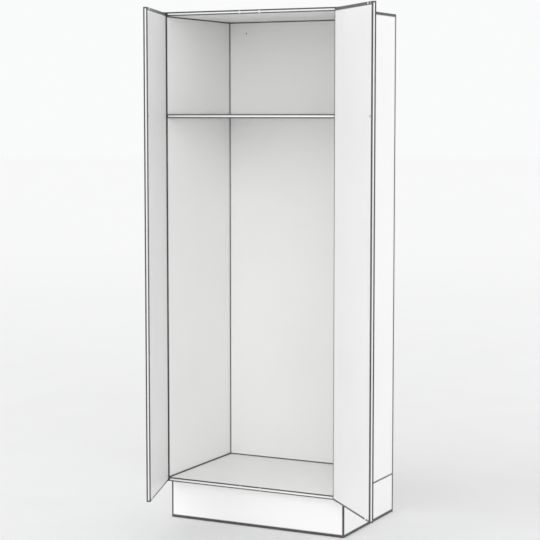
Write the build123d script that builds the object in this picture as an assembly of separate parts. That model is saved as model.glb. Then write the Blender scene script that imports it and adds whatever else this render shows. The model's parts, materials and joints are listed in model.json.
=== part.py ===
"""Tall two-door kitchen cabinet on a set-back plinth, with one fixed shelf high up.

Millimetres. X runs to the right, Y towards the wall and Z up. The origin is where the cabinet's
centre line meets the wall and the floor. The doors are built shut and then turned on their pivots
to the angles at which they stand open.
"""

import os

from build123d import *

# Overall sizes
cabinet_width = 800.0
cabinet_depth = 565.0
carcass_height = 1956.0
plinth_height = 166.0
plinth_setback = 51.0
shelf_underside = 1523.0  # above the carcass's underside

# Boards
side_thickness = 16.0
panel_thickness = 16.0  # top, bottom and shelf
door_thickness = 16.0
plinth_thickness = 16.0
rail_thickness = 16.0
rail_height = 100.0
back_thickness = 3.0
band_thickness = 1.0
band_edge_radius = 0.8

# Back panel in its grooves
groove_depth = 8.0
groove_play = 0.1  # on each face of the back panel
groove_end_gap = 0.6
shelf_back_gap = 0.5
wall_hole_radius = 3.0
wall_hole_spacing = 600.0

# Doors
door_gap = 2.5  # shut door to the front edges of the carcass
side_reveal = 1.5
centre_gap = 3.0
left_door_angle = 70.0
right_door_angle = 135.0

# Pivot hinges at the top and bottom of each door
pivot_from_edge = 6.5
pivot_from_inner_face = 9.0
leaf_thickness = 2.5
leaf_width = 10.0
leaf_length = 62.0
plate_width = 40.0
plate_length = 38.0
plate_front = 4.0  # behind the front edges of the carcass
plate_corner_radius = 4.0
plate_hole_inset = 9.0
leaf_hole_near = 28.0  # from the pivot
leaf_hole_inset = 9.0  # from the leaf's far end
recess_play = 0.15
washer_thickness = 0.8
washer_radius = 4.8
pin_radius = 2.0
pin_play = 0.05
pin_chamfer = 0.4
pin_in_door = 9.0
pin_hole_play = 0.4  # round the pin, in the board under the leaf

# Cam fittings and dowels
cam_radius = 7.5
cam_depth = 12.5
cam_from_end = 24.0
cam_from_edges = 70.0
cam_play = 0.1
cam_cross_length = 9.6
cam_cross_width = 1.6
cam_cross_depth = 2.0
cap_radius = 8.5
cap_thickness = 0.8
cap_edge_radius = 0.4
bolt_hole_radius = 4.0
bolt_thread_radius = 2.5
bolt_thread_length = 11.0
bolt_neck_radius = 2.0
bolt_head_radius = 3.2
bolt_head_length = 4.0
dowel_radius = 4.0
dowel_play = 0.05
dowel_in_side = 10.0
dowel_in_panel = 20.0
dowel_end_gap = 1.0
dowel_from_cam = 32.0
dowel_chamfer = 1.0
rail_dowel_from_edge = 25.0

# Wood screws
screw_shank_radius = 1.5
screw_head_radius = 3.6
screw_head_depth = 2.1
leaf_screw_length = 18.0
plate_screw_length = 13.0
bracket_screw_length = 14.0
screw_tip = 3.0
screw_cross_length = 3.8
screw_cross_width = 0.9
screw_cross_depth = 1.5
pilot_play = 0.05

# Plinth frame
corner_block_leg = 45.0
corner_block_floor_gap = 12.0
bracket_leg = 38.0
bracket_width = 30.0
bracket_thickness = 2.0
bracket_bend_radius = 3.0  # inside the bend
bracket_corner_radius = 6.0
bracket_from_centre = 200.0
bracket_hole_from_bend = 24.0

# Magnetic catches, strikes and bumpers
catch_from_centre = 45.0
catch_from_end = 8.8  # of the carcass
catch_radius = 4.0
catch_depth = 14.0
catch_flange_radius = 5.6
catch_flange_thickness = 0.9
catch_play = 0.05
magnet_radius = 2.6
magnet_length = 11.0
strike_radius = 4.6
strike_thickness = 1.0
strike_spigot_radius = 2.0
strike_spigot_length = 8.0
bumper_radius = 4.5
bumper_thickness = 2.0
bumper_edge_radius = 1.4
bumper_from_free_edge = 16.0

# Places worked out from the sizes
half_width = cabinet_width / 2
inner_half = half_width - side_thickness
front = -cabinet_depth
carcass_bottom = plinth_height
carcass_top = plinth_height + carcass_height
middle_z = (carcass_bottom + carcass_top) / 2
back_front = -rail_thickness - back_thickness
plinth_front_y = front + plinth_setback
door_bottom = carcass_bottom + leaf_thickness + washer_thickness
door_top = carcass_top - leaf_thickness - washer_thickness
door_inner = front - door_gap
door_outer = door_inner - door_thickness
door_hinge_edge = -half_width + side_reveal
door_free_edge = -centre_gap / 2
pivot_x = door_hinge_edge + pivot_from_edge
pivot_y = door_inner - pivot_from_inner_face
catch_z = carcass_top - catch_from_end
panel_levels = {
    "top": carcass_top - panel_thickness,
    "bottom": carcass_bottom,
    "shelf": carcass_bottom + shelf_underside,
}
cam_rows = (front + cam_from_edges, -cam_from_edges)
dowel_rows = (front + cam_from_edges + dowel_from_cam, -cam_from_edges - dowel_from_cam)
rail_levels = {
    "top": carcass_top - panel_thickness - rail_height,
    "middle": middle_z - rail_height / 2,
    "bottom": carcass_bottom + panel_thickness,
}
wall_hole_z = rail_levels["top"] + rail_height / 2
side_plane = Plane.YZ
level_plane = Plane.XY.offset(middle_z)
FROM_CORNER = (Align.MIN, Align.MIN, Align.MIN)
FROM_BASE = (Align.CENTER, Align.CENTER, Align.MIN)
FROM_TOP = (Align.CENTER, Align.CENTER, Align.MAX)


# Simple shapes


def block(low, high):
    """A box between two corners."""
    size = [b - a for a, b in zip(low, high)]
    return Pos(*low) * Box(*size, align=FROM_CORNER)


def rod(radius, start, end):
    """A cylinder from one point to another."""
    along = Vector(*end) - Vector(*start)
    seat = Plane(origin=start, z_dir=along)
    return seat * Cylinder(radius, along.length, align=FROM_BASE)


def turned(points):
    """A solid turned about Z from (radius, height) points."""
    profile = make_face(Polyline(*[(r, 0, z) for r, z in points], close=True))
    return revolve(profile, axis=Axis.Z)


def driver_cross(length, width, depth):
    """Two crossed slots for a driver, sunk from the plane z = 0."""
    slot = Box(length, width, depth, align=FROM_TOP)
    return slot + Rot(0, 0, 90) * slot


def screw(length):
    """A countersunk wood screw with its head's flat face at the origin and its tip towards -Z."""
    body = turned(
        [
            (0, 0),
            (screw_head_radius, 0),
            (screw_shank_radius, -screw_head_depth),
            (screw_shank_radius, screw_tip - length),
            (0, -length),
        ]
    )
    return body - driver_cross(screw_cross_length, screw_cross_width, screw_cross_depth)


def screw_space(length):
    """What a screw needs out of the pieces that it holds."""
    shank = screw_shank_radius + pilot_play
    mouth = screw_head_radius + pilot_play
    depth = length + pilot_play
    return turned([(0, 0), (mouth, 0), (shank, -screw_head_depth), (shank, -depth), (0, -depth)])


def edge_band(low, high, outward):
    """A strip between two corners, with the long corners of its outer face rounded."""
    strip = block(low, high)
    outer_face = strip.faces().sort_by(Axis((0, 0, 0), outward))[-1]
    long_corners = outer_face.edges().sort_by(SortBy.LENGTH)[-2:]
    return fillet(long_corners, band_edge_radius)


def flipped(shape):
    """The same piece at the other side of the cabinet."""
    return mirror(shape, about=side_plane)


def lowered(shape):
    """The same piece at the other end of the carcass."""
    return mirror(shape, about=level_plane)


def both_sides(shapes):
    return shapes + [flipped(shape) for shape in shapes]


def both_ends(shapes):
    return shapes + [lowered(shape) for shape in shapes]


def cut(shape, tools):
    for tool in tools:
        shape = shape - tool
    return shape


def save(name, *shapes):
    """Writes one node, which may be a group of separate solids."""
    solids = [solid for shape in shapes for solid in shape.solids()]
    whole = solids[0] if len(solids) == 1 else Compound(solids)
    export_step(whole, f"parts/{name}.step")


# Pivot hinges, drawn for the top of the left door


def leaf_sketch(play):
    """The door's leaf: a strip along the door's edge, round about the pivot."""
    nose = Pos(pivot_x, pivot_y) * Circle(leaf_width / 2 + play)
    strip = Pos(pivot_x, pivot_y) * Rectangle(
        leaf_length + play, leaf_width + 2 * play, align=(Align.MIN, Align.CENTER)
    )
    return nose + strip


def plate_sketch(play):
    """The carcass's plate: an arm from the pivot to a rounded plate over side and panel."""
    nose = Pos(pivot_x, pivot_y) * Circle(leaf_width / 2 + play)
    plate_y = front + plate_front
    arm = Pos(pivot_x, pivot_y) * Rectangle(
        leaf_width + 2 * play, plate_y + plate_length / 2 - pivot_y, align=(Align.CENTER, Align.MIN)
    )
    plate = Pos(pivot_x - leaf_width / 2 + plate_width / 2, plate_y + plate_length / 2) * RectangleRounded(
        plate_width + 2 * play, plate_length + 2 * play, plate_corner_radius + play
    )
    return nose + arm + plate


def plate_screw_seats():
    """One screw into the side's end and two into the panel's face."""
    near = front + plate_front + plate_hole_inset
    far = front + plate_front + plate_length - plate_hole_inset
    inward = pivot_x - leaf_width / 2 + plate_width - plate_hole_inset
    return [Pos(x, y, carcass_top) for x, y in ((pivot_x, far), (inward, near), (inward, far))]


def leaf_screw_seats():
    places = (leaf_hole_near, leaf_length - leaf_hole_inset)
    return [Pos(pivot_x + along, pivot_y, door_top) for along in places]


def plate_screw_spaces():
    return [seat * screw_space(plate_screw_length) for seat in plate_screw_seats()]


def leaf_screw_spaces():
    return [seat * screw_space(leaf_screw_length) for seat in leaf_screw_seats()]


def pivot_plate():
    plate = Pos(0, 0, carcass_top - leaf_thickness) * extrude(plate_sketch(0), leaf_thickness)
    return cut(plate, plate_screw_spaces() + [pivot_rod(pin_play)])


def plate_recess():
    return Pos(0, 0, carcass_top - leaf_thickness) * extrude(plate_sketch(recess_play), 2 * leaf_thickness)


def door_leaf():
    leaf = Pos(0, 0, door_top - leaf_thickness) * extrude(leaf_sketch(0), leaf_thickness)
    return cut(leaf, leaf_screw_spaces() + [pivot_rod(pin_play)])


def leaf_recess():
    return Pos(0, 0, door_top - leaf_thickness) * extrude(leaf_sketch(recess_play), 2 * leaf_thickness)


def pivot_rod(play):
    low = (pivot_x, pivot_y, door_top - leaf_thickness - pin_in_door)
    high = (pivot_x, pivot_y, carcass_top)
    return rod(pin_radius + play, low, high)


def pivot_pin():
    pin = pivot_rod(0)
    return chamfer(pin.edges().filter_by(GeomType.CIRCLE), pin_chamfer)


def pivot_washer():
    low = (pivot_x, pivot_y, door_top)
    high = (pivot_x, pivot_y, carcass_top - leaf_thickness)
    return rod(washer_radius, low, high) - rod(pin_radius + pin_play, low, high)


# Cam fittings and dowels, drawn at the left end of a panel whose underside is at z


def panel_middle(name):
    return panel_levels[name] + panel_thickness / 2


def cam_seat(name, y):
    """A cam's mouth, in the top's upper face and in the undersides of the bottom and the shelf."""
    x = -inner_half + cam_from_end
    if name == "top":
        return Pos(x, y, carcass_top)
    return Pos(x, y, panel_levels[name]) * Rot(180, 0, 0)


def cam_housing(name, y):
    """A drum with a bore for the bolt's head and a cross for the driver."""
    body = Cylinder(cam_radius, cam_depth, align=FROM_TOP)
    body = body - driver_cross(cam_cross_length, cam_cross_width, cam_cross_depth)
    return cam_seat(name, y) * body - bolt_bore(name, y)


def cam_bore(name, y):
    return cam_seat(name, y) * Cylinder(
        cam_radius + cam_play, cam_depth + cam_play, align=FROM_TOP
    )


def bolt_bore(name, y):
    z = panel_middle(name)
    return rod(bolt_hole_radius, (-inner_half, y, z), (-inner_half + cam_from_end + bolt_head_length, y, z))


def cam_bolt(name, y):
    """A stud screwed into the side, with a neck and a head inside the cam."""
    to_head = cam_from_end - bolt_head_length / 2
    stud = turned(
        [
            (0, -bolt_thread_length),
            (bolt_thread_radius, -bolt_thread_length),
            (bolt_thread_radius, 0),
            (bolt_head_radius, 0),
            (bolt_head_radius, bolt_head_length / 2),
            (bolt_neck_radius, bolt_head_length),
            (bolt_neck_radius, to_head),
            (bolt_head_radius, to_head + bolt_head_length / 4),
            (bolt_head_radius, to_head + bolt_head_length),
            (0, to_head + bolt_head_length),
        ]
    )
    return Pos(-inner_half, y, panel_middle(name)) * Rot(0, 90, 0) * stud


def bolt_pilot(name, y):
    z = panel_middle(name)
    radius = bolt_thread_radius + pilot_play
    return rod(radius, (-inner_half, y, z), (-inner_half - bolt_thread_length - pilot_play, y, z))


def cam_cap(y):
    body = Cylinder(cap_radius, cap_thickness, align=FROM_BASE)
    rim = body.edges().group_by(Axis.Z)[-1]
    return cam_seat("shelf", y) * fillet(rim, cap_edge_radius)


def dowel(y, z):
    along = rod(dowel_radius, (-inner_half - dowel_in_side, y, z), (-inner_half + dowel_in_panel, y, z))
    return chamfer(along.edges().filter_by(GeomType.CIRCLE), dowel_chamfer)


def dowel_bore(y, z):
    radius = dowel_radius + dowel_play
    low = -inner_half - dowel_in_side - dowel_end_gap
    high = -inner_half + dowel_in_panel + dowel_end_gap
    return rod(radius, (low, y, z), (high, y, z))


panel_dowel_places = [(y, panel_middle(name)) for name in panel_levels for y in dowel_rows]
rail_dowel_places = [
    (-rail_thickness / 2, level + offset)
    for level in rail_levels.values()
    for offset in (rail_dowel_from_edge, rail_height - rail_dowel_from_edge)
]
dowel_places = panel_dowel_places + rail_dowel_places
cam_places = [(name, y) for name in panel_levels for y in cam_rows]


# Carcass boards


def back_groove():
    """The groove that the back panel needs in the top and the bottom."""
    x = inner_half + groove_depth
    y = (back_front - groove_play, back_front + back_thickness + groove_play)
    low_z = carcass_bottom + panel_thickness - groove_depth
    high_z = carcass_top - panel_thickness + groove_depth
    return block((-x, y[0], low_z), (x, y[1], high_z))


def side_groove():
    """The sides' groove runs out at both ends."""
    y = (back_front - groove_play, back_front + back_thickness + groove_play)
    return block((-inner_half - groove_depth, y[0], carcass_bottom), (0, y[1], carcass_top))


def hinge_recesses():
    """Recesses for the left side's two pivot plates, with their screws' holes."""
    return both_ends([plate_recess()] + plate_screw_spaces())


def left_side():
    low = (-half_width, front + band_thickness, carcass_bottom)
    board = block(low, (-inner_half, 0, carcass_top))
    tools = [side_groove()] + [bolt_pilot(name, y) for name, y in cam_places]
    tools += [dowel_bore(y, z) for y, z in dowel_places]
    return cut(board, tools + hinge_recesses())


def side_band():
    """The band on the left side's front edge, cut where the pivot plates' arms cross it."""
    low = (-half_width, front, carcass_bottom)
    high = (-inner_half, front + band_thickness, carcass_top)
    return cut(edge_band(low, high, (0, -1, 0)), both_ends([plate_recess()]))


def level_band(name):
    """The band on the front edge of the top, bottom or shelf, with holes for any catches in it."""
    z = panel_levels[name]
    low = (-inner_half, front, z)
    high = (inner_half, front + band_thickness, z + panel_thickness)
    return cut(edge_band(low, high, (0, -1, 0)), catch_spaces())


def panel_fittings(name):
    """Bores for the cams, bolts and dowels of one panel, at both ends."""
    z = panel_middle(name)
    tools = []
    for y in cam_rows:
        tools += [cam_bore(name, y), bolt_bore(name, y)]
    tools += [dowel_bore(y, z) for y in dowel_rows]
    return both_sides(tools)


def level_panel(name, rear):
    z = panel_levels[name]
    board = block((-inner_half, front + band_thickness, z), (inner_half, rear, z + panel_thickness))
    return cut(board, panel_fittings(name))


def back_panel():
    x = inner_half + groove_depth - groove_end_gap
    low = (-x, back_front, carcass_bottom + panel_thickness - groove_depth + groove_end_gap)
    high = (x, back_front + back_thickness, carcass_top - panel_thickness + groove_depth - groove_end_gap)
    return cut(block(low, high), wall_holes())


def wall_holes():
    """Holes for two wall screws, through the back panel and the top rail."""
    places = (-wall_hole_spacing / 2, wall_hole_spacing / 2)
    return [rod(wall_hole_radius, (x, back_front, wall_hole_z), (x, 0, wall_hole_z)) for x in places]


def back_rail(name):
    z = rail_levels[name]
    rail = block((-inner_half, -rail_thickness, z), (inner_half, 0, z + rail_height))
    places = [place for place in rail_dowel_places if z < place[1] < z + rail_height]
    rail = cut(rail, both_sides([dowel_bore(*place) for place in places]))
    return cut(rail, wall_holes()) if name == "top" else rail


# Plinth frame


def prism(points, low_z, high_z):
    return Pos(0, 0, low_z) * extrude(make_face(Polyline(*points, close=True)), high_z - low_z)


def plinth_front_board():
    """Mitred at both ends to meet the side boards."""
    inner = half_width - plinth_thickness
    rear = plinth_front_y + plinth_thickness
    points = [(-half_width, plinth_front_y), (half_width, plinth_front_y), (inner, rear), (-inner, rear)]
    return cut(prism(points, 0, plinth_height), bracket_spaces())


def plinth_side_board():
    inner = half_width - plinth_thickness
    points = [
        (-half_width, plinth_front_y),
        (-inner, plinth_front_y + plinth_thickness),
        (-inner, 0),
        (-half_width, 0),
    ]
    return prism(points, 0, plinth_height)


def plinth_back_board():
    inner = half_width - plinth_thickness
    board = block((-inner, -plinth_thickness, 0), (inner, 0, plinth_height))
    return cut(board, bracket_spaces())


def corner_block(y, away):
    """A glue block in a corner of the plinth, with its right angle in the corner."""
    x = -half_width + plinth_thickness
    points = [(x, y), (x + corner_block_leg, y), (x, y + away * corner_block_leg)]
    return prism(points, corner_block_floor_gap, plinth_height)


def bracket_seats():
    """Where the brackets' bends lie: on the inner faces of the plinth's front and back boards."""
    seats = []
    for x in (-bracket_from_centre, bracket_from_centre):
        seats.append(Pos(x, plinth_front_y + plinth_thickness, plinth_height))
        seats.append(Pos(x, -plinth_thickness, plinth_height) * Rot(0, 0, 180))
    return seats


def angle_bracket():
    """A bent strip: one leg hangs down the board, the other lies under the carcass's bottom."""
    leg = bracket_leg
    gauge = bracket_thickness
    points = [(0, 0), (leg, 0), (leg, -gauge), (gauge, -gauge), (gauge, -leg), (0, -leg)]
    strip = make_face(Polyline(*[(0, y, z) for y, z in points], close=True))
    strip = extrude(strip, bracket_width / 2, both=True)
    bends = [((0, 0, 0), bracket_bend_radius + gauge), ((0, gauge, -gauge), bracket_bend_radius)]
    for corner, radius in bends:
        bend = strip.edges().filter_by(Axis.X).sort_by_distance(corner)[0]
        strip = fillet(bend, radius)
    far_corners = strip.edges().filter_by(Axis.Z).group_by(Axis.Y)[-1]
    low_corners = strip.edges().filter_by(Axis.Y).group_by(Axis.Z)[0]
    strip = fillet(far_corners + low_corners, bracket_corner_radius)
    return cut(strip, [place * screw_space(bracket_screw_length) for place in bracket_screw_places()])


def bracket_screw_places():
    up = Pos(0, bracket_hole_from_bend, -bracket_thickness) * Rot(180, 0, 0)
    into_board = Pos(0, bracket_thickness, -bracket_hole_from_bend) * Rot(-90, 0, 0)
    return [up, into_board]


def bracket_screw_seats():
    return [seat * place for seat in bracket_seats() for place in bracket_screw_places()]


def bracket_spaces():
    return [seat * screw_space(bracket_screw_length) for seat in bracket_screw_seats()]


# Magnetic catches in the front edges of the top and the bottom


def catch_places():
    return [Pos(x, front, catch_z) * Rot(90, 0, 0) for x in (-catch_from_centre, catch_from_centre)]


def catch_sleeve():
    """A flanged sleeve, its axis along Z and its flange on the plane z = 0."""
    bore = magnet_radius + catch_play
    return turned(
        [
            (bore, catch_flange_thickness),
            (catch_flange_radius, catch_flange_thickness),
            (catch_flange_radius, 0),
            (catch_radius, 0),
            (catch_radius, -catch_depth),
            (0, -catch_depth),
            (0, catch_flange_thickness - magnet_length),
            (bore, catch_flange_thickness - magnet_length),
        ]
    )


def catch_magnet():
    top = catch_flange_thickness
    return Pos(0, 0, top) * Cylinder(magnet_radius, magnet_length, align=FROM_TOP)


def catch_spaces():
    hole = Cylinder(catch_radius + catch_play, catch_depth, align=FROM_TOP)
    return both_ends([place * hole for place in catch_places()])


# Doors, drawn for the left door when it is shut


def door_board():
    low = (door_hinge_edge + band_thickness, door_outer, door_bottom + band_thickness)
    high = (door_free_edge - band_thickness, door_inner, door_top - band_thickness)
    return cut(block(low, high), door_tools())


def door_tools():
    """What the pivots, the leaves' screws and the strikes take out of a door."""
    upper = [leaf_recess(), pivot_rod(pin_hole_play)] + leaf_screw_spaces()
    spigots = [place * strike_hole() for place in strike_places()]
    return both_ends(upper + spigots)


def upright_band(x, outward):
    """A band on an upright edge of a door, as long as the door."""
    low = (x, door_outer, door_bottom)
    high = (x + band_thickness, door_inner, door_top)
    return cut(edge_band(low, high, (outward, 0, 0)), both_ends([leaf_recess()]))


def top_band():
    """The band on a door's top edge, between the upright ones."""
    low = (door_hinge_edge + band_thickness, door_outer, door_top - band_thickness)
    high = (door_free_edge - band_thickness, door_inner, door_top)
    return edge_band(low, high, (0, 0, 1)) - leaf_recess()


def strike_places():
    return [Pos(-catch_from_centre, door_inner, catch_z) * Rot(-90, 0, 0)]


def strike():
    """A coated steel disc on the door's inner face, on a spigot driven into the board."""
    return turned(
        [
            (0, strike_thickness),
            (strike_radius - strike_thickness / 2, strike_thickness),
            (strike_radius, strike_thickness / 2),
            (strike_radius, 0),
            (strike_spigot_radius, 0),
            (strike_spigot_radius, -strike_spigot_length),
            (0, -strike_spigot_length),
        ]
    )


def strike_hole():
    return Cylinder(
        strike_spigot_radius + pilot_play,
        strike_spigot_length + pilot_play,
        align=FROM_TOP,
    )


def bumper():
    dot = Cylinder(bumper_radius, bumper_thickness, align=FROM_BASE)
    return fillet(dot.edges().group_by(Axis.Z)[-1], bumper_edge_radius)


def bumper_places():
    """Level with the catches at both ends, and with the shelf's edge."""
    x = door_free_edge - bumper_from_free_edge
    levels = (catch_z, panel_middle("shelf"), carcass_bottom + catch_from_end)
    return [Pos(x, door_inner, z) * Rot(-90, 0, 0) for z in levels]


def door_pieces():
    """Every node of the left door, shut."""
    screws = [seat * screw(leaf_screw_length) for seat in leaf_screw_seats()]
    return {
        "door_panel": [door_board()],
        "door_hinge_edge_band": [upright_band(door_hinge_edge, -1)],
        "door_free_edge_band": [upright_band(door_free_edge - band_thickness, 1)],
        "door_top_edge_band": [top_band()],
        "door_bottom_edge_band": [lowered(top_band())],
        "door_pivot_leaf_top": [door_leaf()],
        "door_pivot_leaf_bottom": [lowered(door_leaf())],
        "door_leaf_screws": both_ends(screws),
        "door_strikes": both_ends([place * strike() for place in strike_places()]),
        "door_bumpers": [place * bumper() for place in bumper_places()],
    }


def opened(shape, angle):
    """Turns a piece of the left door about its pivots."""
    return Pos(pivot_x, pivot_y) * Rot(0, 0, -angle) * Pos(-pivot_x, -pivot_y) * shape


os.makedirs("parts", exist_ok=True)

side = left_side()
save("side_panel_left", side)
save("side_panel_right", flipped(side))
save("side_edge_band_left", side_band())
save("side_edge_band_right", flipped(side_band()))

end_tools = [back_groove()] + both_sides(hinge_recesses()) + catch_spaces()
save("top_panel", cut(level_panel("top", 0), end_tools))
save("bottom_panel", cut(level_panel("bottom", 0), end_tools + bracket_spaces()))
save("shelf", level_panel("shelf", back_front - shelf_back_gap))
for name in panel_levels:
    save(f"{name}_edge_band", level_band(name))
save("back_panel", back_panel())
for name in rail_levels:
    save(f"back_rail_{name}", back_rail(name))

save("cam_housings", *both_sides([cam_housing(*place) for place in cam_places]))
save("cam_bolts", *both_sides([cam_bolt(*place) for place in cam_places]))
save("shelf_cam_caps", *both_sides([cam_cap(y) for y in cam_rows]))
save("panel_dowels", *both_sides([dowel(*place) for place in panel_dowel_places]))
save("rail_dowels", *both_sides([dowel(*place) for place in rail_dowel_places]))

save("plinth_front", plinth_front_board())
save("plinth_side_left", plinth_side_board())
save("plinth_side_right", flipped(plinth_side_board()))
save("plinth_back", plinth_back_board())
front_block = corner_block(plinth_front_y + plinth_thickness, 1)
back_block = corner_block(-plinth_thickness, -1)
save("plinth_corner_blocks", *both_sides([front_block, back_block]))
save("plinth_brackets", *[seat * angle_bracket() for seat in bracket_seats()])
save("plinth_bracket_screws", *[seat * screw(bracket_screw_length) for seat in bracket_screw_seats()])

plate = pivot_plate()
save("pivot_plate_top_left", plate)
save("pivot_plate_top_right", flipped(plate))
save("pivot_plate_bottom_left", lowered(plate))
save("pivot_plate_bottom_right", flipped(lowered(plate)))
plate_screws = [seat * screw(plate_screw_length) for seat in plate_screw_seats()]
save("pivot_plate_screws", *both_sides(both_ends(plate_screws)))
save("pivot_pins", *both_sides(both_ends([pivot_pin()])))
save("pivot_washers", *both_sides(both_ends([pivot_washer()])))

save("catch_sleeves", *both_ends([place * catch_sleeve() for place in catch_places()]))
save("catch_magnets", *both_ends([place * catch_magnet() for place in catch_places()]))

for piece, shapes in door_pieces().items():
    save(f"left_{piece}", *[opened(shape, left_door_angle) for shape in shapes])
    save(f"right_{piece}", *[flipped(opened(shape, right_door_angle)) for shape in shapes])
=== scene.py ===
"""Looks of the tall two-door cabinet: finishes on its solids, a pale floor, soft light and a camera.

Metres, in the part's own frame: X to the right, Y towards the wall, Z up. The cabinet faces -Y.
Angles are in degrees. An azimuth of 0 is the cabinet's front, and 90 is its right.
"""

import json
import math

import bpy
from mathutils import Matrix, Vector


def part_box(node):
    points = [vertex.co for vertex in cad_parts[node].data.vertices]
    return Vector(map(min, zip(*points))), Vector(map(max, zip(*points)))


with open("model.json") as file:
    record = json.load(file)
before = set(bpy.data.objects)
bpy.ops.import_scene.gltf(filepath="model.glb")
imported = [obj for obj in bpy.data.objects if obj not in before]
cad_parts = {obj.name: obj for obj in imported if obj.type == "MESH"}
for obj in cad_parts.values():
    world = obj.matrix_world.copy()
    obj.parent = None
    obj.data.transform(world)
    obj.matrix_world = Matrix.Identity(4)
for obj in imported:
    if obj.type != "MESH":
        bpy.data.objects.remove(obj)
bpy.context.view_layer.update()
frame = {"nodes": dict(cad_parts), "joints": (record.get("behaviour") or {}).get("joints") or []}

# Camera, fitted to the vanishing lines of the drawing
IMAGE_SIDE_PIXELS = 540.0
FOCAL_PIXELS = 1651.8
SENSOR_WIDTH_MM = 36.0
CAMERA_PLACE = (3.0905, -6.4829, 1.7040)
CAMERA_AZIMUTH = 26.866
CAMERA_ELEVATION = 5.379
CAMERA_REACH = 200.0

# Light and floor
BACKGROUND = (0.88, 0.883, 0.887)
EXPOSURE = 0.12
FLOOR_RADIUS = 60.0
FLOOR_SIDES = 96
FLOOR_NEAR = (0.82, 0.82, 0.82)
FLOOR_FAR = (0.89, 0.89, 0.89)
FLOOR_FADE_START = 2.0
FLOOR_FADE_END = 14.0
LIGHTS = {
    "key": {"azimuth": -35.0, "elevation": 32.0, "width": 50.0, "strength": 0.26},
    "front": {"azimuth": 30.0, "elevation": 10.0, "width": 50.0, "strength": 0.72},
}

# Widths of the painted shade lines: dark lines painted along the edges and in the inside corners, where
# shade would mark them, bolder on the cabinet's outline as the drawing has them
BOLD_LINE = 0.0120
OUTER_LINE = 0.0070
INNER_LINE = 0.0048
JOINT_LINE = 0.0034
BAND_OUTLINE = 0.0062
BAND_LINE = 0.0046
LINE_SOFTNESS = 0.15

# How far lines are drawn in from the low and high sides of a piece's box. Below 0 they are narrower
NO_INSET = (0, 0, 0)
BOLD_TO_OUTER = OUTER_LINE - BOLD_LINE
BOLD_TO_JOINT = JOINT_LINE - BOLD_LINE
OUTLINE_TO_BAND = BAND_LINE - BAND_OUTLINE
AT_EDGES = {"low": NO_INSET, "high": NO_INSET}
SIDE_INSETS = {"low": (0, BOLD_TO_OUTER, BOLD_TO_JOINT), "high": NO_INSET}
PLINTH_SIDE_INSETS = {"low": (0, BOLD_TO_OUTER, 0), "high": (0, 0, BOLD_TO_JOINT)}
PLINTH_FRONT_INSETS = {"low": (BOLD_TO_OUTER, 0, 0), "high": (BOLD_TO_OUTER, 0, 0)}
DOOR_INSETS = {"low": NO_INSET, "high": (0, 0, BOLD_LINE - OUTER_LINE)}
DOOR_BAND_INSETS = {"low": NO_INSET, "high": (0, OUTLINE_TO_BAND, 0)}
TOP_BAND_INSETS = {"low": (0, 0, OUTLINE_TO_BAND), "high": NO_INSET}

# Wear and rounding of the pieces' edges
METAL_WEAR = 0.0006
ARRIS_RADIUS = 0.0004
BEVEL_SAMPLES = 4

# Roughness of the boards' white faces
CARCASS_ROUGH = 0.40
PLINTH_ROUGH = 0.44

# Stretches of textures: the lower the number, the longer the marks along that axis
UNSTRETCHED = (1, 1, 1)
STREAK_ALONG = 2.0
STREAK_ACROSS = 60.0
GRAIN_ALONG = 0.06
FIBRE_STRETCH = (1, 1, 0.4)
BRUSHED_STRETCH = (1, 8, 8)

# Between these lie most values of a noise texture
NOISE_LOW = 0.3
NOISE_HIGH = 0.7

# A face counts as looking along an axis from the first share of its normal, and fully from the second
FACING_START = 0.7
FACING_FULL = 0.9

# Places of the colour sockets on a Mix node, which has other sockets by the same names
MIX_FACTOR = 0
MIX_FIRST = 6
MIX_SECOND = 7
MIX_RESULT = 2

# Colours, linear
WHITE_FACE = (0.950, 0.950, 0.943)
WHITE_LACQUER = (0.905, 0.905, 0.900)
WHITE_BAND = (0.89, 0.89, 0.883)
WHITE_PLASTIC = (0.80, 0.80, 0.79)
# Painted shade: the dark colour of the lines along the edges and in the inside corners
PAINTED_SHADE_LINE_COLOUR = (0.014, 0.014, 0.0145)
CHIP_DARK = (0.16, 0.095, 0.05)
CHIP_MIDDLE = (0.364, 0.259, 0.154)
CHIP_LIGHT = (0.52, 0.37, 0.22)
HARDBOARD_DARK = (0.10, 0.055, 0.03)
HARDBOARD_LIGHT = (0.23, 0.135, 0.075)
PINE_DARK = (0.42, 0.25, 0.11)
PINE_LIGHT = (0.66, 0.46, 0.25)
BEECH_DARK = (0.40, 0.24, 0.13)
BEECH_LIGHT = (0.58, 0.39, 0.24)
DIE_CAST_ZINC = (0.55, 0.55, 0.56)
SATIN_STEEL = (0.62, 0.62, 0.63)
ZINC_PLATE = (0.66, 0.67, 0.70)
NICKEL = (0.70, 0.69, 0.66)
NYLON = (0.72, 0.70, 0.64)

# How the silicone of the bumpers lets light through
SILICONE_CLARITY = {"Transmission Weight": 0.8, "IOR": 1.41}


# Node helpers


def feed(tree, node, values):
    """Gives a node's input sockets fixed values or other nodes' outputs."""
    for socket, value in values.items():
        if isinstance(value, bpy.types.NodeSocket):
            tree.links.new(value, node.inputs[socket])
        else:
            node.inputs[socket].default_value = value


def put(tree, kind, values=None, **settings):
    """Adds a node: settings are its own properties, values go to its input sockets."""
    node = tree.nodes.new(kind)
    for name, value in settings.items():
        setattr(node, name, value)
    feed(tree, node, values or {})
    return node


def new_material(name, values):
    """A material with one Principled shader, whose fixed numbers are set on its own sockets."""
    material = bpy.data.materials.new(name)
    material.use_nodes = True
    tree = material.node_tree
    shader = tree.nodes["Principled BSDF"]
    feed(tree, shader, values)
    return material, tree, shader


def stretched(tree, where, stretch):
    return put(tree, "ShaderNodeMapping", {"Vector": where, "Scale": stretch}).outputs["Vector"]


def place(tree, stretch=UNSTRETCHED):
    """Coordinates in metres on the piece itself, stretched along the part's axes."""
    return stretched(tree, put(tree, "ShaderNodeTexCoord").outputs["Object"], stretch)


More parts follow.
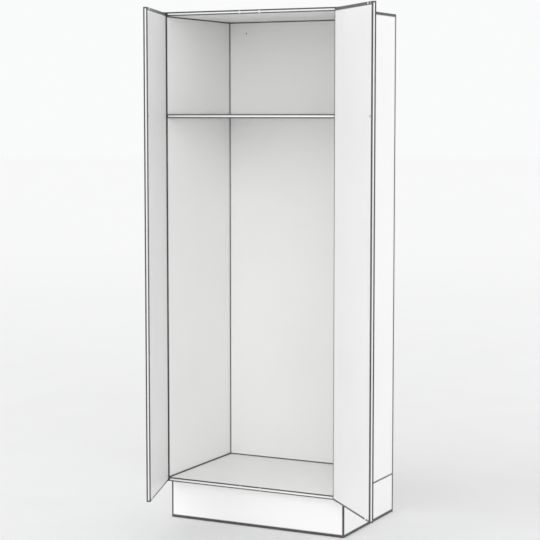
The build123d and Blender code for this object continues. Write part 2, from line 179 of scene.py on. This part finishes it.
def noise(tree, where, scale, detail=3.0):
    node = put(tree, "ShaderNodeTexNoise", {"Vector": where, "Scale": scale, "Detail": detail})
    return node.outputs["Fac"]


def spread(tree, value, low, high, start=0.0, end=1.0):
    """Maps start..end of a value to low..high."""
    values = {"Value": value, "From Min": start, "From Max": end, "To Min": low, "To Max": high}
    return put(tree, "ShaderNodeMapRange", values).outputs["Result"]


def number_step(tree, operation, *values):
    return put(tree, "ShaderNodeMath", dict(enumerate(values)), operation=operation).outputs["Value"]


def vector_step(tree, operation, *values):
    return put(tree, "ShaderNodeVectorMath", dict(enumerate(values)), operation=operation)


def opaque(colour):
    """A fixed colour with full opacity, or a colour socket as it is."""
    return colour if isinstance(colour, bpy.types.NodeSocket) else (*colour, 1)


def shades(tree, factor, stops):
    """A colour ramp from (position, colour) stops."""
    ramp = put(tree, "ShaderNodeValToRGB", {"Fac": factor})
    points = ramp.color_ramp.elements
    while len(points) < len(stops):
        points.new(1.0)
    for point, (position, colour) in zip(points, stops):
        point.position = position
        point.color = opaque(colour)
    return ramp.outputs["Color"]


def blend(tree, factor, first, second):
    """Mixes two colours by a factor that varies over the surface."""
    values = {MIX_FACTOR: factor, MIX_FIRST: opaque(first), MIX_SECOND: opaque(second)}
    return put(tree, "ShaderNodeMix", values, data_type="RGBA").outputs[MIX_RESULT]


def bump(tree, height, depth, strength, normal=None):
    """Relief whose full height is depth metres."""
    values = {"Height": height, "Distance": depth, "Strength": strength}
    if normal is not None:
        values["Normal"] = normal
    return put(tree, "ShaderNodeBump", values).outputs["Normal"]


def tinted(colour, factor):
    return tuple(min(1.0, channel * factor) for channel in colour)


def clouded(tree, clouds, colour, darkest, lightest):
    """A colour that drifts between two tints of itself."""
    stops = [(NOISE_LOW, tinted(colour, darkest)), (NOISE_HIGH, tinted(colour, lightest))]
    return shades(tree, clouds, stops)


def rounded(tree, radius=ARRIS_RADIUS):
    """Normals that are rounded over the piece's edges."""
    return put(tree, "ShaderNodeBevel", {"Radius": radius}, samples=BEVEL_SAMPLES).outputs["Normal"]


def edge_wear(tree, reach):
    """1 where the surface turns over an edge, fading to 0 within the reach."""
    flat = put(tree, "ShaderNodeNewGeometry").outputs["Normal"]
    turn = vector_step(tree, "DOT_PRODUCT", rounded(tree, reach), flat).outputs["Value"]
    return spread(tree, turn, low=1.0, high=0.0, start=0.93, end=0.985)


def normal_along(tree, axis):
    """How far the surface faces along an axis: 1 or -1 where it faces straight along it."""
    normal = put(tree, "ShaderNodeTexCoord").outputs["Normal"]
    return put(tree, "ShaderNodeSeparateXYZ", {"Vector": normal}).outputs[axis]


def facing(tree, axis):
    """1 on the board's two broad faces, whose normals lie along an axis, and 0 on its cut edges."""
    along = number_step(tree, "ABSOLUTE", normal_along(tree, axis))
    return spread(tree, along, low=0.0, high=1.0, start=FACING_START, end=FACING_FULL)


# Painted shade lines along the arrises and in the inside corners


def closed_turn(node):
    """The turn about Z that squares a node with the axes: a door's turn back to its closed place."""
    for joint in frame["joints"]:
        if node.startswith(joint["child"]):
            return math.radians(joint["range_deg"][0]) * joint["axis"][2]
    return 0.0


def square_box(node):
    """Lowest and highest corners of a node once it is squared with the axes."""
    turn = Matrix.Rotation(closed_turn(node), 3, "Z")
    points = [turn @ vertex.co for vertex in frame["nodes"][node].data.vertices]
    low = Vector(min(values) for values in zip(*points))
    high = Vector(max(values) for values in zip(*points))
    return low, high


def square_place(tree, node):
    """Coordinates in metres on a node that is squared with the axes."""
    coordinates = put(tree, "ShaderNodeTexCoord").outputs["Object"]
    turn = {"Vector": coordinates, "Rotation": (0, 0, closed_turn(node))}
    return put(tree, "ShaderNodeMapping", turn).outputs["Vector"]


def painted_shade_line_mask(tree, node, width, insets=AT_EDGES):
    """Mask of the painted shade lines: 1 within a width of the edges of the node's box, and 0 beyond.

    A point on a face lies on one side of the box, so the second least of its distances to the three
    pairs of sides is how far it is from an edge. Insets draw in the box's low and high sides, to where
    a neighbour hides them. One below 0 lets a side out, so that its line is narrower.
    """
    low, high = square_box(node)
    low += Vector(insets["low"])
    high -= Vector(insets["high"])
    offset = vector_step(tree, "SUBTRACT", square_place(tree, node), (low + high) / 2).outputs["Vector"]
    reach = vector_step(tree, "ABSOLUTE", offset).outputs["Vector"]
    distance = vector_step(tree, "SUBTRACT", (high - low) / 2, reach).outputs["Vector"]
    x, y, z = put(tree, "ShaderNodeSeparateXYZ", {"Vector": distance}).outputs
    nearer = number_step(tree, "MINIMUM", x, y)
    further = number_step(tree, "MAXIMUM", x, y)
    second = number_step(tree, "MAXIMUM", nearer, number_step(tree, "MINIMUM", further, z))
    start = width * (1.0 - LINE_SOFTNESS)
    end = width * (1.0 + LINE_SOFTNESS)
    return spread(tree, second, low=1.0, high=0.0, start=start, end=end)


def covered_ends(node):
    """Insets of a side's inner face, whose ends lie hidden behind the top and the bottom."""
    low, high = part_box(node)
    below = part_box("bottom_panel")[1][2] - low[2]
    above = high[2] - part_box("top_panel")[0][2]
    return {"low": (0, 0, below), "high": (0, 0, above)}


def inner_face(tree, node):
    """1 on the face of a side that looks to the cabinet's middle, and 0 elsewhere."""
    inwards = math.copysign(1.0, -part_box(node)[0][0])
    along = number_step(tree, "MULTIPLY", normal_along(tree, "X"), inwards)
    return spread(tree, along, low=0.0, high=1.0, start=FACING_START, end=FACING_FULL)


def side_painted_shade_line_mask(tree, node):
    """Bold painted shade lines on a side's outer face, and fine ones on its inner face."""
    outer = painted_shade_line_mask(tree, node, BOLD_LINE, SIDE_INSETS)
    inner = painted_shade_line_mask(tree, node, INNER_LINE, covered_ends(node))
    return spread(tree, inner_face(tree, node), low=outer, high=inner)


def with_painted_shade_lines(tree, where, colour, lines):
    """A colour with dark painted shade lines, a little uneven in strength."""
    strength = spread(tree, noise(tree, where, scale=45.0), low=0.88, high=1.0)
    return blend(tree, number_step(tree, "MULTIPLY", lines, strength), colour, PAINTED_SHADE_LINE_COLOUR)


# Finishes


def pearl_grain(tree, where):
    """The fine orange-peel grain of pressed melamine."""
    coarse = noise(tree, where, scale=620.0, detail=1.0)
    fine = noise(tree, where, scale=1900.0, detail=2.0)
    return number_step(tree, "ADD", coarse, fine)


def white_surface(tree, where, colour):
    """White with a faint cloudiness and fine speckle."""
    clouds = noise(tree, where, scale=2.3, detail=4.0)
    base = clouded(tree, clouds, colour, darkest=0.975, lightest=1.01)
    specks = noise(tree, where, scale=1500.0, detail=1.0)
    speckle = spread(tree, specks, low=0.0, high=0.10, start=0.45, end=0.75)
    return blend(tree, speckle, base, tinted(colour, factor=0.86))


def particle_core(tree, where):
    """Pressed wood chips, as a bare cut edge shows them: their colour and their relief."""
    chips = put(tree, "ShaderNodeTexVoronoi", {"Vector": where, "Scale": 420.0, "Randomness": 1.0})
    chance = put(tree, "ShaderNodeSeparateColor", {"Color": chips.outputs["Color"]}).outputs["Red"]
    tone = shades(tree, chance, [(0.0, CHIP_DARK), (0.35, CHIP_MIDDLE), (1.0, CHIP_LIGHT)])
    return tone, chips.outputs["Distance"]


def board_finish(node, axis, rough, draw=painted_shade_line_mask, **lines):
    """White-faced particle board, bare on its cut edges. Its broad faces look along an axis."""
    material, tree, shader = new_material(f"{node}_board", {"Specular IOR Level": 0.45})
    where = place(tree)
    face = facing(tree, axis)
    bare = spread(tree, face, low=0.85, high=0.0)
    chips, chip_relief = particle_core(tree, where)
    # Painted shade lines along the board's edges and in its inside corners
    white = with_painted_shade_lines(tree, where, white_surface(tree, where, WHITE_FACE), draw(tree, node, **lines))
    smudges = noise(tree, where, scale=6.0, detail=5.0)
    sheen = spread(tree, smudges, low=rough - 0.06, high=rough + 0.10, start=NOISE_LOW, end=NOISE_HIGH)
    pearl = bump(tree, pearl_grain(tree, where), depth=0.00003, strength=0.5, normal=rounded(tree))
    crumbs = number_step(tree, "MULTIPLY", chip_relief, bare)
    surface = {
        "Base Color": blend(tree, face, chips, white),
        "Roughness": number_step(tree, "MAXIMUM", sheen, bare),
        "Normal": bump(tree, crumbs, depth=0.0004, strength=0.6, normal=pearl),
    }
    feed(tree, shader, surface)
    return material


def door_finish(node):
    """White lacquer over board: smoother than the carcass, with the faint flow of a rolled coat."""
    coat = {"Specular IOR Level": 0.5, "Coat Weight": 0.12, "Coat Roughness": 0.28}
    material, tree, shader = new_material(f"{node}_lacquer", coat)
    where = place(tree)
    white = white_surface(tree, where, WHITE_LACQUER)
    # Painted shade lines along the door's edges
    lines = painted_shade_line_mask(tree, node, OUTER_LINE, DOOR_INSETS)
    smudges = noise(tree, where, scale=5.0, detail=5.0)
    flow = pearl_grain(tree, where)
    surface = {
        "Base Color": with_painted_shade_lines(tree, where, white, lines),
        "Roughness": spread(tree, smudges, low=0.30, high=0.44, start=NOISE_LOW, end=NOISE_HIGH),
        "Normal": bump(tree, flow, depth=0.00002, strength=0.4, normal=rounded(tree)),
    }
    feed(tree, shader, surface)
    return material


def streak_stretch(node):
    """Coarse along a node's longest side and fine across it."""
    low, high = square_box(node)
    sides = list(high - low)
    return [STREAK_ALONG if side == max(sides) else STREAK_ACROSS for side in sides]


def band_finish(node, width=BAND_LINE, insets=AT_EDGES):
    """White edge band, faintly streaked along its length by the extruder."""
    material, tree, shader = new_material(f"{node}_finish", {"Specular IOR Level": 0.5})
    where = place(tree)
    drawn = stretched(tree, square_place(tree, node), streak_stretch(node))
    streaks = noise(tree, drawn, scale=6.0, detail=2.0)
    white = clouded(tree, streaks, WHITE_BAND, darkest=0.97, lightest=1.01)
    grain = noise(tree, where, scale=900.0)
    surface = {
        # Painted shade lines along the band's edges
        "Base Color": with_painted_shade_lines(tree, where, white, painted_shade_line_mask(tree, node, width, insets)),
        "Roughness": spread(tree, streaks, low=0.30, high=0.46),
        "Normal": bump(tree, grain, depth=0.00002, strength=0.4, normal=rounded(tree)),
    }
    feed(tree, shader, surface)
    return material


def hidden_edges(node):
    """Insets of a back panel, whose edges lie hidden in the grooves of the boards round it."""
    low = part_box(node)[0]
    inset = (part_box("side_panel_left")[1][0] - low[0], 0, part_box("bottom_panel")[1][2] - low[2])
    return {"low": inset, "high": inset}


def hardboard_finish(node):
    """Thin hardboard: white lacquer on the front, bare brown and screen-pressed elsewhere."""
    material, tree, shader = new_material(f"{node}_hardboard", {"Specular IOR Level": 0.4})
    where = place(tree)
    along = normal_along(tree, "Y")
    bare = spread(tree, along, low=0.0, high=1.0, start=-FACING_FULL, end=-FACING_START)
    wires = {"Vector": where, "Scale": 130.0, "Distortion": 0.6}
    upright = put(tree, "ShaderNodeTexWave", wires, bands_direction="X").outputs["Fac"]
    level = put(tree, "ShaderNodeTexWave", wires, bands_direction="Z").outputs["Fac"]
    screen = number_step(tree, "MULTIPLY", upright, level)
    fibre = noise(tree, place(tree, FIBRE_STRETCH), scale=260.0, detail=5.0)
    brown = shades(tree, fibre, [(NOISE_LOW, HARDBOARD_DARK), (NOISE_HIGH, HARDBOARD_LIGHT)])
    pressed = blend(tree, spread(tree, screen, low=0.0, high=0.5), brown, HARDBOARD_DARK)
    face = white_surface(tree, where, WHITE_FACE)
    # Painted shade lines where the back panel meets the boards round it
    white = with_painted_shade_lines(tree, where, face, painted_shade_line_mask(tree, node, INNER_LINE, hidden_edges(node)))
    pearl = bump(tree, pearl_grain(tree, where), depth=0.00002, strength=0.4)
    print_of_screen = number_step(tree, "MULTIPLY", screen, bare)
    surface = {
        "Base Color": blend(tree, bare, white, pressed),
        "Roughness": spread(tree, bare, low=0.42, high=0.8),
        "Normal": bump(tree, print_of_screen, depth=0.0003, strength=0.7, normal=pearl),
    }
    feed(tree, shader, surface)
    return material


def wood_finish(name, dark, light, axis):
    """Bare wood with growth rings, its grain along an axis."""
    material, tree, shader = new_material(name, {"Specular IOR Level": 0.35})
    stretch = list(UNSTRETCHED)
    stretch["XYZ".index(axis)] = GRAIN_ALONG
    where = place(tree, stretch)
    growth = {"Vector": where, "Scale": 26.0, "Distortion": 7.0, "Detail": 3.0}
    rings = put(tree, "ShaderNodeTexWave", growth, wave_type="RINGS").outputs["Fac"]
    fibre = noise(tree, where, scale=900.0, detail=4.0)
    tone = shades(tree, rings, [(0.15, dark), (0.75, light)])
    surface = {
        "Base Color": blend(tree, spread(tree, fibre, low=0.0, high=0.35), tone, dark),
        "Roughness": spread(tree, fibre, low=0.55, high=0.8),
        "Normal": bump(tree, fibre, depth=0.0002, strength=0.5),
    }
    feed(tree, shader, surface)
    return material


def metal_finish(name, colour, rough, scale, stretch=UNSTRETCHED):
    """Metal whose grain runs as the stretch says, rubbed brighter along its edges."""
    material, tree, shader = new_material(name, {"Metallic": 1.0})
    grain = noise(tree, place(tree, stretch), scale, detail=4.0)
    worn = number_step(tree, "MULTIPLY", edge_wear(tree, METAL_WEAR), grain)
    tone = clouded(tree, grain, colour, darkest=0.88, lightest=1.06)
    surface = {
        "Base Color": blend(tree, worn, tone, tinted(colour, factor=1.2)),
        "Roughness": spread(tree, grain, low=rough - 0.08, high=rough + 0.10),
        "Normal": bump(tree, grain, depth=0.00004, strength=0.5, normal=rounded(tree)),
    }
    feed(tree, shader, surface)
    return material


def plastic_finish(name, colour, rough, values=None):
    """Moulded plastic or a sprayed coat with a fine even grain."""
    material, tree, shader = new_material(name, values or {})
    where = place(tree)
    clouds = noise(tree, where, scale=90.0)
    grain = noise(tree, where, scale=2600.0, detail=2.0)
    surface = {
        "Base Color": clouded(tree, clouds, colour, darkest=0.95, lightest=1.03),
        "Roughness": spread(tree, grain, low=rough - 0.07, high=rough + 0.07),
        "Normal": bump(tree, grain, depth=0.00003, strength=0.5),
    }
    feed(tree, shader, surface)
    return material


# Finishes on the pieces


def dress(material, *nodes):
    for node in nodes:
        slots = frame["nodes"][node].data.materials
        slots.clear()
        slots.append(material)


def dress_each(finish, *nodes, **values):
    """Gives each node a finish of its own, fitted to its box."""
    for node in nodes:
        dress(finish(node, **values), node)


def both_doors(*pieces):
    return [f"{side}_door_{piece}" for side in ("left", "right") for piece in pieces]


dress_each(
    board_finish,
    "side_panel_left", "side_panel_right",
    axis="X", rough=CARCASS_ROUGH, draw=side_painted_shade_line_mask,
)
dress_each(
    board_finish,
    "top_panel", "bottom_panel", "shelf",
    axis="Z", rough=CARCASS_ROUGH, width=INNER_LINE,
)
dress_each(
    board_finish,
    "plinth_side_left", "plinth_side_right",
    axis="X", rough=PLINTH_ROUGH, width=BOLD_LINE, insets=PLINTH_SIDE_INSETS,
)
dress_each(
    board_finish,
    "plinth_front",
    axis="Y", rough=PLINTH_ROUGH, width=BOLD_LINE, insets=PLINTH_FRONT_INSETS,
)
dress_each(
    board_finish,
    "back_rail_top", "back_rail_middle", "back_rail_bottom", "plinth_back",
    axis="Y", rough=PLINTH_ROUGH, width=OUTER_LINE,
)
dress_each(hardboard_finish, "back_panel")
dress_each(door_finish, *both_doors("panel"))
dress_each(
    band_finish,
    "side_edge_band_left", "side_edge_band_right", "bottom_edge_band", "shelf_edge_band",
)
dress_each(band_finish, "top_edge_band", width=BAND_OUTLINE, insets=TOP_BAND_INSETS)
dress_each(
    band_finish,
    *both_doors("hinge_edge_band", "free_edge_band", "top_edge_band", "bottom_edge_band"),
    width=BAND_OUTLINE, insets=DOOR_BAND_INSETS,
)
dress(wood_finish("pine", PINE_DARK, PINE_LIGHT, axis="Z"), "plinth_corner_blocks")
dress(wood_finish("beech", BEECH_DARK, BEECH_LIGHT, axis="X"), "panel_dowels", "rail_dowels")
dress(metal_finish("die_cast_zinc", DIE_CAST_ZINC, rough=0.48, scale=1400.0), "cam_housings")
dress(
    metal_finish("satin_steel", SATIN_STEEL, rough=0.32, scale=300.0, stretch=BRUSHED_STRETCH),
    "pivot_plate_top_left", "pivot_plate_top_right",
    "pivot_plate_bottom_left", "pivot_plate_bottom_right",
    "pivot_pins", *both_doors("pivot_leaf_top", "pivot_leaf_bottom"),
)
dress(
    metal_finish("zinc_plate", ZINC_PLATE, rough=0.26, scale=500.0),
    "cam_bolts", "plinth_brackets", "plinth_bracket_screws",
    "pivot_plate_screws", *both_doors("leaf_screws"),
)
dress(metal_finish("nickel", NICKEL, rough=0.30, scale=700.0), "catch_magnets")
dress(plastic_finish("powder_coat", WHITE_LACQUER, rough=0.46), *both_doors("strikes"))
dress(plastic_finish("catch_plastic", WHITE_PLASTIC, rough=0.42), "catch_sleeves")
dress(plastic_finish("cap_plastic", WHITE_PLASTIC, rough=0.45), "shelf_cam_caps")
dress(plastic_finish("nylon", NYLON, rough=0.38), "pivot_washers")
dress(
    plastic_finish("silicone", WHITE_PLASTIC, rough=0.30, values=SILICONE_CLARITY),
    *both_doors("bumpers"),
)


# Floor, light and camera


def floor_finish():
    """Pale matt floor that fades into the background far away."""
    material, tree, shader = new_material("studio_floor", {"Specular IOR Level": 0.2})
    where = place(tree)
    reach = vector_step(tree, "LENGTH", where).outputs["Value"]
    fade = spread(tree, reach, low=0.0, high=1.0, start=FLOOR_FADE_START, end=FLOOR_FADE_END)
    clouds = noise(tree, where, scale=3.0, detail=4.0)
    near = clouded(tree, clouds, FLOOR_NEAR, darkest=1.0, lightest=1.02)
    surface = {
        "Base Color": blend(tree, fade, near, FLOOR_FAR),
        "Roughness": spread(tree, clouds, low=0.75, high=0.9),
    }
    feed(tree, shader, surface)
    return material


def build_floor():
    """A wide round floor under the cabinet."""
    turns = [2 * math.pi * step / FLOOR_SIDES for step in range(FLOOR_SIDES)]
    rim = [(FLOOR_RADIUS * math.cos(turn), FLOOR_RADIUS * math.sin(turn), 0.0) for turn in turns]
    mesh = bpy.data.meshes.new("studio_floor")
    mesh.from_pydata(rim, [], [list(range(FLOOR_SIDES))])
    mesh.materials.append(floor_finish())
    floor = bpy.data.objects.new("studio_floor", mesh)
    bpy.context.scene.collection.objects.link(floor)


def add_aimed(thing, azimuth, elevation):
    """Adds a lamp or a camera that looks from a direction towards the cabinet."""
    turn = math.radians(azimuth)
    rise = math.radians(elevation)
    source = Vector((math.sin(turn) * math.cos(rise), -math.cos(turn) * math.cos(rise), math.sin(rise)))
    thing.rotation_mode = "QUATERNION"
    thing.rotation_quaternion = (-source).to_track_quat("-Z", "Y")
    bpy.context.scene.collection.objects.link(thing)


def build_light(name, azimuth, elevation, width, strength):
    """Soft light from far away, whose source is as wide as an angle in the sky."""
    data = bpy.data.lights.new(name, "SUN")
    data.angle = math.radians(width)
    data.energy = strength
    add_aimed(bpy.data.objects.new(name, data), azimuth, elevation)


def build_world():
    """An even pale background, and plain tones in the picture."""
    world = bpy.data.worlds.new("studio")
    world.use_nodes = True
    world.node_tree.nodes["Background"].inputs["Color"].default_value = opaque(BACKGROUND)
    bpy.context.scene.world = world
    bpy.context.scene.view_settings.view_transform = "Standard"
    bpy.context.scene.view_settings.exposure = EXPOSURE


def build_camera():
    data = bpy.data.cameras.new("camera")
    data.sensor_width = SENSOR_WIDTH_MM
    data.lens = FOCAL_PIXELS * SENSOR_WIDTH_MM / IMAGE_SIDE_PIXELS
    data.clip_end = CAMERA_REACH
    camera = bpy.data.objects.new("camera", data)
    camera.location = CAMERA_PLACE
    add_aimed(camera, CAMERA_AZIMUTH, CAMERA_ELEVATION)
    bpy.context.scene.camera = camera


build_floor()
for lamp_name, facts in LIGHTS.items():
    build_light(lamp_name, **facts)
build_world()
build_camera()
